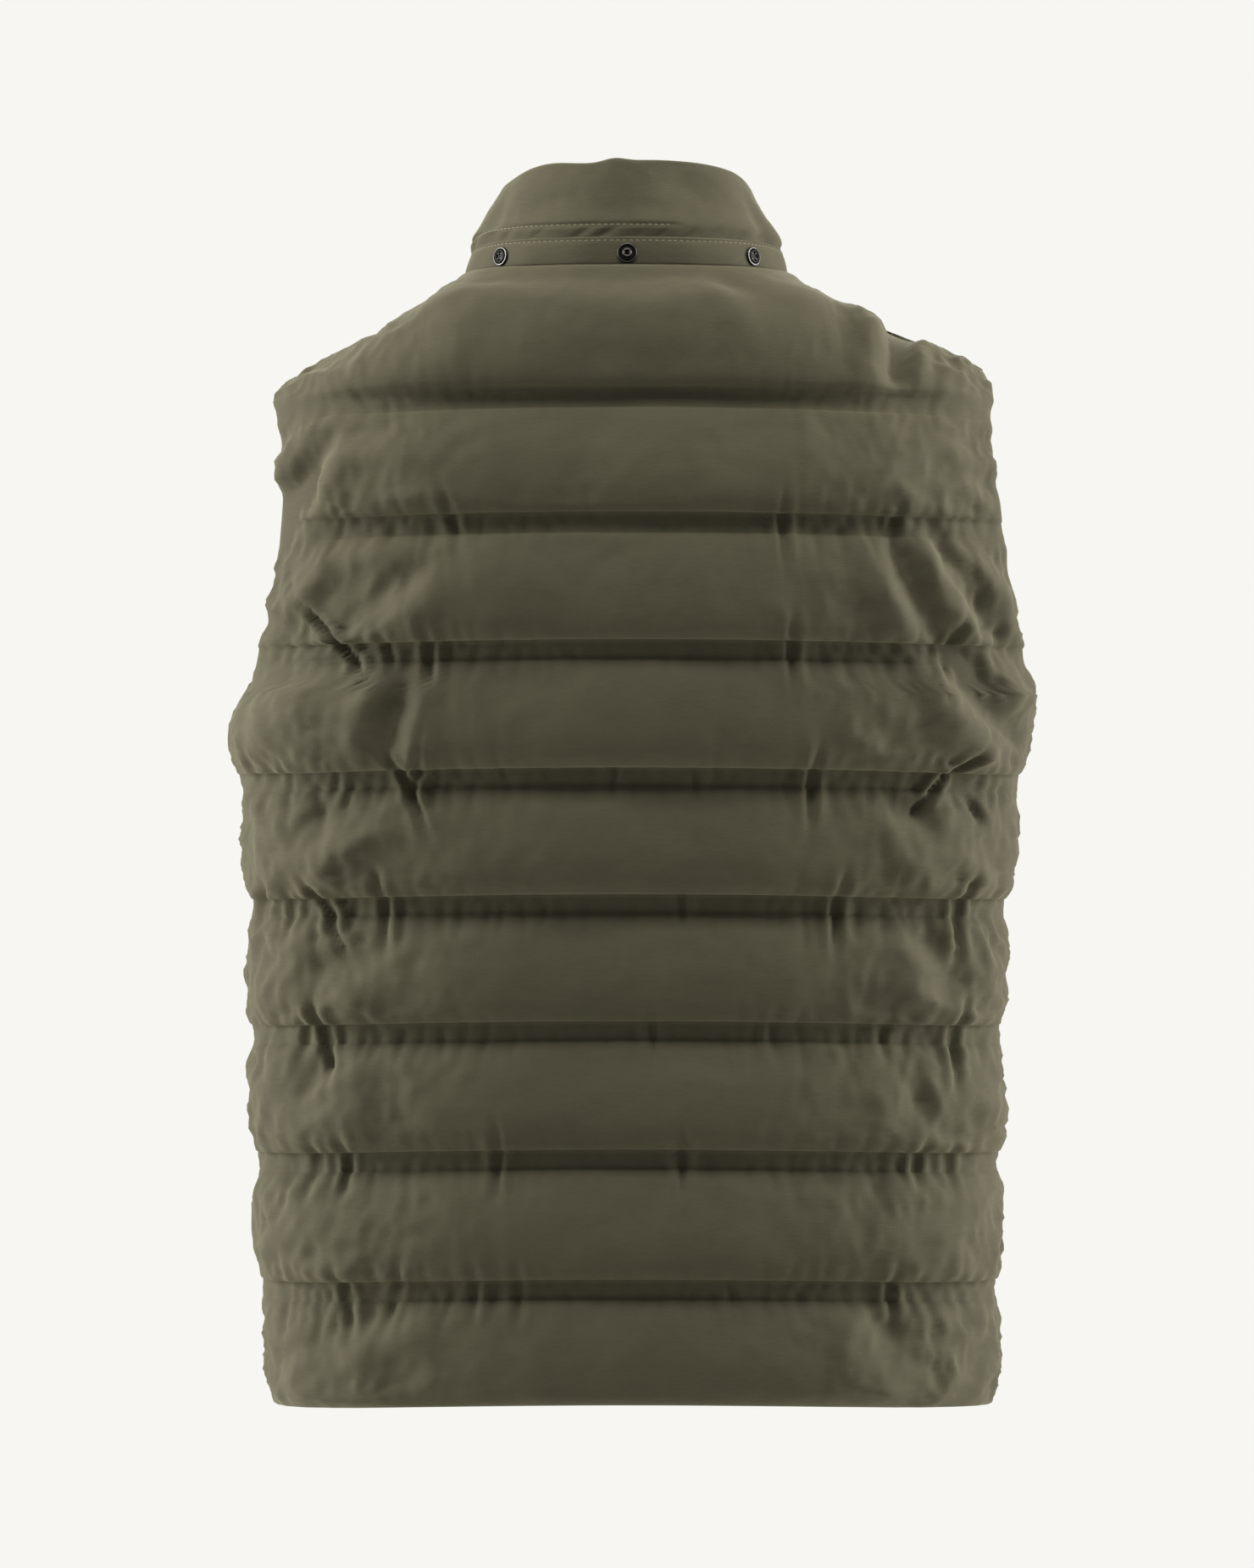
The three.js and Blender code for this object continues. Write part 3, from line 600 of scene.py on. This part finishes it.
# Shell cloth: a fine, tightly woven cotton and nylon with a washed, matt face. It gives a soft,
# slightly warm olive with faint slubs and a low bloom at a glancing angle.
shell_cloth = bpy.data.materials.new("washed_olive_cotton_nylon")
shell_cloth.use_nodes = True
tree = shell_cloth.node_tree
tree.nodes.clear()
place = add_node(tree, "ShaderNodeTexCoord")
blotch = add_node(
    tree, "ShaderNodeTexNoise", links=[("Vector", place, "Object")],
    Scale=16.0, Detail=4.0, Roughness=0.55,
)
stretch = add_node(
    tree, "ShaderNodeMapping", links=[("Vector", place, "Object")], Scale=(1, 1, 6),
)
slub = add_node(
    tree, "ShaderNodeTexNoise", links=[("Vector", stretch, 0)],
    Scale=160.0, Detail=3.0, Roughness=0.6,
)
shade = add_node(
    tree, "ShaderNodeMix", data_type="RGBA", links=[("Factor", blotch, 0)],
    in_6=srgb("#434030"), in_7=srgb("#4e4a37"),
)
shade = add_node(
    tree, "ShaderNodeMix", data_type="RGBA", blend_type="OVERLAY",
    links=[("A", shade, 2), ("B", slub, 0)], in_0=0.16,
)
weave = add_node(
    tree, "ShaderNodeTexNoise", links=[("Vector", place, "Object")],
    Scale=900.0, Detail=2.0, Roughness=0.6,
)
relief_map = add_node(
    tree, "ShaderNodeMath", operation="MULTIPLY_ADD",
    links=[(0, slub, 0), (2, weave, 0)], in_1=1.4,
)
bump = add_node(
    tree, "ShaderNodeBump", links=[("Height", relief_map, 0)], Strength=0.16, Distance=0.0006,
)
cloth = add_node(
    tree, "ShaderNodeBsdfPrincipled",
    links=[("Base Color", shade, 2), ("Normal", bump, 0)],
    **{"Roughness": 0.82, "Specular IOR Level": 0.25, "Sheen Weight": 0.32,
       "Sheen Roughness": 0.45, "Sheen Tint": srgb("#b9b394")},
)
add_node(tree, "ShaderNodeOutputMaterial", links=[(0, cloth, 0)])

COLUMNS = 140  # to each side of the middle
PANELS = [
    # node, side, hands, folds, pinches, seed
    ("back_panel", -1, (-1, 1), BACK_FOLDS, BACK_PINCHES, 3),
    ("front_panel_left", 1, (-1,), FRONT_FOLDS, FRONT_PINCHES, 5),
    ("front_panel_right", 1, (1,), FRONT_FOLDS, FRONT_PINCHES, 8),
]
for node, side, hands, folds, pinches, seed in PANELS:
    panel = padded_panel("padded_" + node, side, hands, folds, pinches, seed)
    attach(panel, "vest")
    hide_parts(node)


# ---------------------------------------------------------------------------------------------
# Stand collar. Two layers of the same cloth with a thin soft filling, sewn into the neck seam and
# turned over at the top edge. It leans in, and it rolls a little over the band at its foot.
COLLAR_WALL = 4.6
COLLAR_BOW = 3.0
FOOT_GAP = 0.6
BAND_TOP = 0.28
BAND_WALL = 1.8
BAND_FACE = COLLAR_WALL + SEAM_GAP
STITCH_ROW = 0.395  # how far up the collar its own row of stitches runs
STITCH_SINK = 2.0


def collar_point(angle, share, out):
    """A point of the collar: out is how far it lies outside the collar's inner face."""
    foot = neck_point(NECK, angle) + np.array([0, 0, FOOT_GAP])
    top = neck_point(COLLAR_TOP, angle)
    bow = COLLAR_BOW * np.sin(np.pi * share)
    middle = foot + (top - foot) * share[..., None]
    return middle + neck_out(angle) * (bow + out)[..., None]


def hump(value, middle, width):
    return np.exp(-(((value - middle) / width) ** 2))


COLLAR_DENTS = [
    # angle in degrees, share of the height, their widths, depth
    (24, 0.74, 15, 0.17, 3.0),
    (12, 0.56, 8, 0.10, 1.4),
    (-30, 0.62, 14, 0.12, 1.2),
    (-62, 0.50, 7, 0.35, 1.6),
    (62, 0.42, 6, 0.30, 2.0),
    (78, 0.70, 8, 0.16, 2.0),
    (100, 0.5, 8, 0.30, 1.8),
    (-104, 0.45, 9, 0.30, 1.8),
    (140, 0.6, 10, 0.20, 1.6),
    (-136, 0.6, 12, 0.20, 1.6),
]
FOOT_TUCKS = [
    # angle in degrees, width, depth of a small fold where the collar rolls over the band
    (-52, 3.0, 1.6), (-36, 2.2, 1.0), (-18, 2.2, 1.6), (-9, 2.4, 2.6), (4, 3.0, 1.6),
    (11, 2.2, 2.4), (22, 2.6, 2.4), (31, 2.0, 1.6), (46, 2.8, 3.0), (58, 2.2, 2.0), (84, 3.0, 2.2),
    (-78, 2.6, 1.8), (-120, 3.0, 2.0), (118, 3.0, 2.0), (150, 3.0, 1.6),
]
end_angle = front_angle(ZIP_EDGE)
angles = np.linspace(-end_angle, end_angle, 301)[None, :]
heights = np.linspace(0, 1, 84)[:, None]
heights = 0.65 * heights + 0.35 * np.sin(heights * np.pi / 2)
angles, heights = np.broadcast_arrays(angles, heights)
degrees = np.degrees(angles)
swell = 2.3 * hump(heights, 0.40, 0.10) + 1.2 * np.sin(np.pi * heights)
for angle, share, wide, tall, depth in COLLAR_DENTS:
    swell = swell - 1.6 * depth * hump(degrees, angle, wide) * hump(heights, share, tall)
for angle, width, depth in FOOT_TUCKS:
    swell = swell - 0.5 * depth * hump(degrees, angle + 60 * (heights - 0.3), width) * hump(
        heights, 0.31, 0.09
    )
rough = collar_point(angles, heights, np.zeros_like(heights))
swell = swell + 1.1 * noise_field(rough, 0.035, 21) + 0.35 * noise_field(rough, 0.12, 22)
pulled = hump(heights, STITCH_ROW, 0.02) * smooth((24 - degrees) / 10)
swell = swell * (1 - pulled) + STITCH_SINK * pulled
swell = swell * smooth(heights / 0.1) * smooth((1 - heights) / 0.05)
from_top = (1 - heights) * 64
turn = np.sqrt(1 - np.clip(1 - from_top / 2.3, 0, 1) ** 2)
end_turn = np.sqrt(1 - np.clip(1 - (end_angle - np.abs(angles)) * 82 / 2.3, 0, 1) ** 2)
close = np.minimum(turn, end_turn) * 0.5
outer = collar_point(angles, heights, COLLAR_WALL * (0.5 + close) + swell)
inner = collar_point(angles, heights, COLLAR_WALL * (0.5 - close) + 0.3 * np.minimum(swell, 0))
edge_wave = 0.7 * np.sin(angles * 7.0 + 0.6) + 2.2 * hump(degrees, -6, 7)
edge_wave = edge_wave + 1.2 * hump(degrees, 30, 18) - 3.2 * smooth((np.abs(degrees) - 30) / 45)
for skin in (outer, inner):
    skin[:, :, 2] += edge_wave * smooth((heights - 0.5) / 0.5)
collar = link_object("stand_collar", two_skin_mesh("stand_collar", outer, inner), shell_cloth)
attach(collar, "vest")
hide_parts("collar")

# ---------------------------------------------------------------------------------------------
# Stud band. A folded strip of the shell cloth, caught in the neck seam and stitched to the collar
# along its top edge. It carries the three press studs.
BAND_FOOT = 0.012
BAND_STITCH = 0.87  # how far up the band its stitches run
band_heights = np.linspace(BAND_FOOT, BAND_TOP, 22)[:, None]
band_angles = np.linspace(-end_angle, end_angle, 281)[None, :]
band_angles, band_heights = np.broadcast_arrays(band_angles, band_heights)
across = (band_heights - BAND_FOOT) / (BAND_TOP - BAND_FOOT)
soft_edge = np.sqrt(1 - np.clip(1 - np.minimum(across, 1 - across) * 17 / 0.9, 0, 1) ** 2)
stitch_dip = 0.55 * hump(across, BAND_STITCH, 0.05)
ripple = noise_field(collar_point(band_angles, band_heights, across), 0.06, 31) * 0.7
ripple = ripple * (1 - hump(across, BAND_STITCH, 0.07))
belly = 0.5 * np.sin(np.pi * across)
out = BAND_FACE + BAND_WALL * (0.5 + 0.5 * soft_edge) - stitch_dip + ripple * soft_edge + belly
outer = collar_point(band_angles, band_heights, out)
inner = collar_point(band_angles, band_heights, BAND_FACE + BAND_WALL * (0.5 - 0.5 * soft_edge))
band = link_object("folded_stud_band", two_skin_mesh("folded_stud_band", outer, inner), shell_cloth)
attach(band, "vest")
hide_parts("stud_band")

# ---------------------------------------------------------------------------------------------
# Topstitching. Spun polyester thread, a little paler than the cloth: one row along the band's top
# edge and one across the collar just above it. Each stitch is a short rounded length of thread.
STITCH_LENGTH = 2.5
STITCH_PITCH = 3.4
THREAD = 0.42
NECK_RADIUS = 84

thread = bpy.data.materials.new("spun_polyester_thread")
thread.use_nodes = True
tree = thread.node_tree
tree.nodes.clear()
place = add_node(tree, "ShaderNodeTexCoord")
twist = add_node(tree, "ShaderNodeTexNoise", links=[("Vector", place, "Object")], Scale=2400.0)
bump = add_node(
    tree, "ShaderNodeBump", links=[("Height", twist, 0)], Strength=0.3, Distance=0.0001,
)
strand = add_node(
    tree, "ShaderNodeBsdfPrincipled", links=[("Normal", bump, 0)],
    **{"Base Color": srgb("#857f64"), "Roughness": 0.6, "Sheen Weight": 0.1},
)
add_node(tree, "ShaderNodeOutputMaterial", links=[(0, strand, 0)])


def stitch_row(bm, share, out, first, last):
    """Stitches round the neck at a share of the collar's height."""
    turn = STITCH_PITCH / NECK_RADIUS
    angle = first
    while angle < last:
        pair = np.array([angle, angle + turn])
        level = np.full(2, share)
        points = collar_point(pair, level, np.full(2, out))
        a, b = Vector(points[0]) * MM, Vector(points[1]) * MM
        along = (b - a).normalized()
        way = Vector(neck_out(pair)[0])
        up = way.cross(along).normalized()
        turned = Matrix((along, up, way)).transposed().to_4x4()
        size = Matrix.Diagonal((STITCH_LENGTH / 2, THREAD / 2 * 1.2, THREAD / 2, 1))
        bmesh.ops.create_uvsphere(
            bm, u_segments=6, v_segments=5, radius=MM,
            matrix=Matrix.Translation(a) @ turned @ size @ Matrix.Rotation(math.pi / 2, 4, "Y"),
        )
        angle += turn


bm = bmesh.new()
first_stitch = -end_angle + 0.02
band_row = BAND_FOOT + BAND_STITCH * (BAND_TOP - BAND_FOOT)
stitch_row(bm, band_row, BAND_FACE + BAND_WALL - 0.3, first_stitch, -first_stitch)
stitch_row(bm, STITCH_ROW, COLLAR_WALL + STITCH_SINK + 0.1, first_stitch, math.radians(20))
for face in bm.faces:
    face.smooth = True
mesh = bpy.data.meshes.new("topstitching")
bm.to_mesh(mesh)
bm.free()
stitches = link_object("topstitching", mesh, thread)
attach(stitches, "vest")

# ---------------------------------------------------------------------------------------------
# Press studs. Brass ring studs pressed through the band: a rolled rim, a dish, and in the middle a
# hollow post or a socket. They are plated, bright nickel at the sides and gunmetal in the middle.
# Only the rim's crest, the post's top and the socket's springs show the plate; the rest of each
# stud is painted near black, as painted shade in its dish, on its sides and in the socket's hole.
plated = {}
PLATES = [
    # finish, colour, roughness
    ("bright_nickel_plate", "#75736f", 0.32),
    ("gunmetal_plate", "#4a4846", 0.3),
    # near black: painted shade for the studs' dishes, sides and socket holes
    ("near_black_painted_shade_plate", "#1f1e1d", 0.45),
]
for finish, colour, rough in PLATES:
    metal = bpy.data.materials.new(finish)
    metal.use_nodes = True
    tree = metal.node_tree
    tree.nodes.clear()
    place = add_node(tree, "ShaderNodeTexCoord")
    wear = add_node(
        tree, "ShaderNodeTexNoise", links=[("Vector", place, "Object")], Scale=700.0, Detail=3.0,
    )
    dull = add_node(
        tree, "ShaderNodeMapRange", links=[("Value", wear, 0)],
        **{"To Min": rough - 0.06, "To Max": rough + 0.14},
    )
    shine = add_node(
        tree, "ShaderNodeBsdfPrincipled", links=[("Roughness", dull, 0)],
        **{"Base Color": srgb(colour), "Metallic": 1.0},
    )
    add_node(tree, "ShaderNodeOutputMaterial", links=[(0, shine, 0)])
    plated[finish] = metal


def spun_ring(bm, profile, segments=40):
    """A closed ring or cap spun from a profile of radius and height, in millimetres."""
    verts = [bm.verts.new((r * MM, 0, z * MM)) for r, z in profile]
    edges = [bm.edges.new(pair) for pair in zip(verts, verts[1:])]
    bmesh.ops.spin(
        bm, geom=verts + edges, cent=(0, 0, 0), axis=(0, 0, 1), angle=math.tau,
        steps=segments, use_merge=True,
    )


STUD_SHARE = 0.125
STUDS = [
    # node, angle, radius, post or socket
    ("press_stud_left", -51, 5.6, "socket"),
    ("press_stud_centre", 0, 5.9, "post"),
    ("press_stud_right", 51, 5.6, "socket"),
]
for node, angle, radius, kind in STUDS:
    bm = bmesh.new()
    rim = [
        (0, 0.0), (radius, 0.0), (radius + 0.05, 0.5), (radius - 0.2, 1.15), (radius - 0.7, 1.35),
        (radius - 1.15, 1.1), (radius - 1.4, 0.7), (3.5, 0.55), (0, 0.55),
    ]
    spun_ring(bm, rim)
    spots = set()
    if kind == "post":
        spun_ring(bm, [
            (2.1, 0.5), (2.75, 0.6), (2.45, 1.5), (2.75, 2.4), (2.6, 3.0), (2.05, 3.25), (1.5, 3.0),
            (1.3, 2.2), (1.3, 0.9), (0, 0.85), (0, 0.5), (2.1, 0.5),
        ])
    else:
        spun_ring(bm, [
            (3.9, 0.5), (4.0, 1.1), (3.6, 1.5), (3.0, 1.5), (2.7, 1.2), (2.6, 0.6), (3.9, 0.5),
        ])
        for quarter in range(4):
            spot = Matrix.Rotation(math.radians(45 + 90 * quarter), 4, "Z") @ Matrix.Translation(
                (2.1 * MM, 0, 0.85 * MM)
            )
            spring = bmesh.ops.create_uvsphere(
                bm, u_segments=10, v_segments=8, radius=0.55 * MM, matrix=spot,
            )
            spots.update(f for v in spring["verts"] for f in v.link_faces)
    bmesh.ops.remove_doubles(bm, verts=bm.verts, dist=1e-6)
    bmesh.ops.recalc_face_normals(bm, faces=bm.faces)
    bm.faces.ensure_lookup_table()
    for face in bm.faces:
        face.smooth = True
        middle = face.calc_center_median()
        reach = math.hypot(middle.x, middle.y) / MM
        crest = middle.z / MM > 0.9 and radius - 0.7 < reach < radius - 0.1
        # Only the rim's crest, the post's top and the springs keep the plate; every other face gets
        # the near-black plate as painted shade for the dish, the sides and the socket hole.
        face.material_index = 0 if crest or middle.z / MM > 2.3 or face in spots else 1
    a = np.radians(np.array([angle, angle + 3.0, angle]))
    level = np.array([STUD_SHARE, STUD_SHARE, 2 * STUD_SHARE])
    points = collar_point(a, level, np.full(3, BAND_FACE + BAND_WALL))
    along = Vector(points[1] - points[0]).normalized()
    up = Vector(points[2] - points[0]).normalized()
    way = along.cross(up).normalized()
    up = way.cross(along)
    turned = Matrix((along, up, way)).transposed().to_4x4()
    centre = (Vector(points[0]) + way * SEAM_GAP) * MM
    bmesh.ops.transform(bm, matrix=Matrix.Translation(centre) @ turned, verts=bm.verts)
    mesh = bpy.data.meshes.new("ring_" + node)
    bm.to_mesh(mesh)
    bm.free()
    shell = plated["gunmetal_plate"] if kind == "post" else plated["bright_nickel_plate"]
    stud = link_object("ring_" + node, mesh, shell, plated["near_black_painted_shade_plate"])
    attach(stud, "vest")
    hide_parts(node)

# ---------------------------------------------------------------------------------------------
# Zip. Woven polyester tapes sewn behind the fronts' edges, a chain of cast teeth clamped on them,
# and a cast slider with its pull tab, plated dark. It is closed up to the top of the collar.
tape_weave = bpy.data.materials.new("woven_polyester_tape")
tape_weave.use_nodes = True
tree = tape_weave.node_tree
tree.nodes.clear()
place = add_node(tree, "ShaderNodeTexCoord")
rib = add_node(
    tree, "ShaderNodeTexWave", links=[("Vector", place, "Object")], wave_type="BANDS",
    bands_direction="Z", Scale=420.0, Distortion=1.0,
)
bump = add_node(
    tree, "ShaderNodeBump", links=[("Height", rib, 0)], Strength=0.4, Distance=0.0002,
)
woven = add_node(
    tree, "ShaderNodeBsdfPrincipled", links=[("Normal", bump, 0)],
    **{"Base Color": srgb("#3a3829"), "Roughness": 0.85, "Sheen Weight": 0.1},
)
add_node(tree, "ShaderNodeOutputMaterial", links=[(0, woven, 0)])
for node in ("zip_tape_left", "zip_tape_right"):
    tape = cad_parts[node]
    tape.data.materials.clear()
    tape.data.materials.append(tape_weave)

ZIP_TOP = 0.94
TOOTH_PITCH = 1.5
TOOTH = (3.7, 2.1, 1.05)  # across, out and along the chain
TOOTH_SET = 0.65  # how far every other tooth stands to its own side
form, _, _, _ = body_form(1, 1, np.array([0.0, 0.05]))
line = [(p[1], p[2]) for p in form[:, 0]]
for share in np.linspace(0.02, ZIP_TOP, 30):
    p = collar_point(np.array([end_angle]), np.array([share]), np.array([0.0]))[0]
    line.append((p[1], p[2]))
line = np.array(line)
keep = np.concatenate([[True], np.hypot(*np.diff(line, axis=0).T) > 0.05])
line = line[keep]
length = np.concatenate([[0], np.cumsum(np.hypot(*np.diff(line, axis=0).T))])
bm = bmesh.new()
at = 2.0
hand = 1
while at < length[-1] - 1:
    y, z = np.interp(at, length, line[:, 0]), np.interp(at, length, line[:, 1])
    y2, z2 = np.interp(at + 1, length, line[:, 0]), np.interp(at + 1, length, line[:, 1])
    lean = math.atan2(y - y2, z2 - z)
    spot = Matrix.Translation(Vector((hand * TOOTH_SET, y, z)) * MM) @ Matrix.Rotation(lean, 4, "X")
    size = Matrix.Diagonal([side * MM for side in TOOTH] + [1])
    bmesh.ops.create_cube(bm, size=1, matrix=spot @ Matrix.Translation((0, 1.15 * MM, 0)) @ size)
    at += TOOTH_PITCH
    hand = -hand
bmesh.ops.bevel(
    bm, geom=bm.edges[:], offset=0.25 * MM, affect="EDGES", segments=1, profile=0.5, material=-1,
)
mesh = bpy.data.meshes.new("zip_teeth")
bm.to_mesh(mesh)
bm.free()
teeth = link_object("zip_teeth", mesh, plated["gunmetal_plate"])
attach(teeth, "vest")
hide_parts("zip_chain")

for node, body in (("zip_slider", "vest"), ("zip_pull", "zip_pull_tab")):
    bm = bmesh.new()
    bm.from_mesh(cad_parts[node].data)
    bmesh.ops.remove_doubles(bm, verts=bm.verts, dist=1e-6)
    bmesh.ops.dissolve_limit(bm, angle_limit=math.radians(2), verts=bm.verts, edges=bm.edges)
    sharp = [e for e in bm.edges if e.is_manifold and e.calc_face_angle() > math.radians(40)]
    bmesh.ops.bevel(
        bm, geom=sharp, offset=0.22 * MM, affect="EDGES", segments=2, profile=0.5, material=-1,
    )
    mesh = bpy.data.meshes.new("cast_" + node)
    bm.to_mesh(mesh)
    bm.free()
    cast = link_object("cast_" + node, mesh, plated["gunmetal_plate"])
    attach(cast, body)
    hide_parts(node)
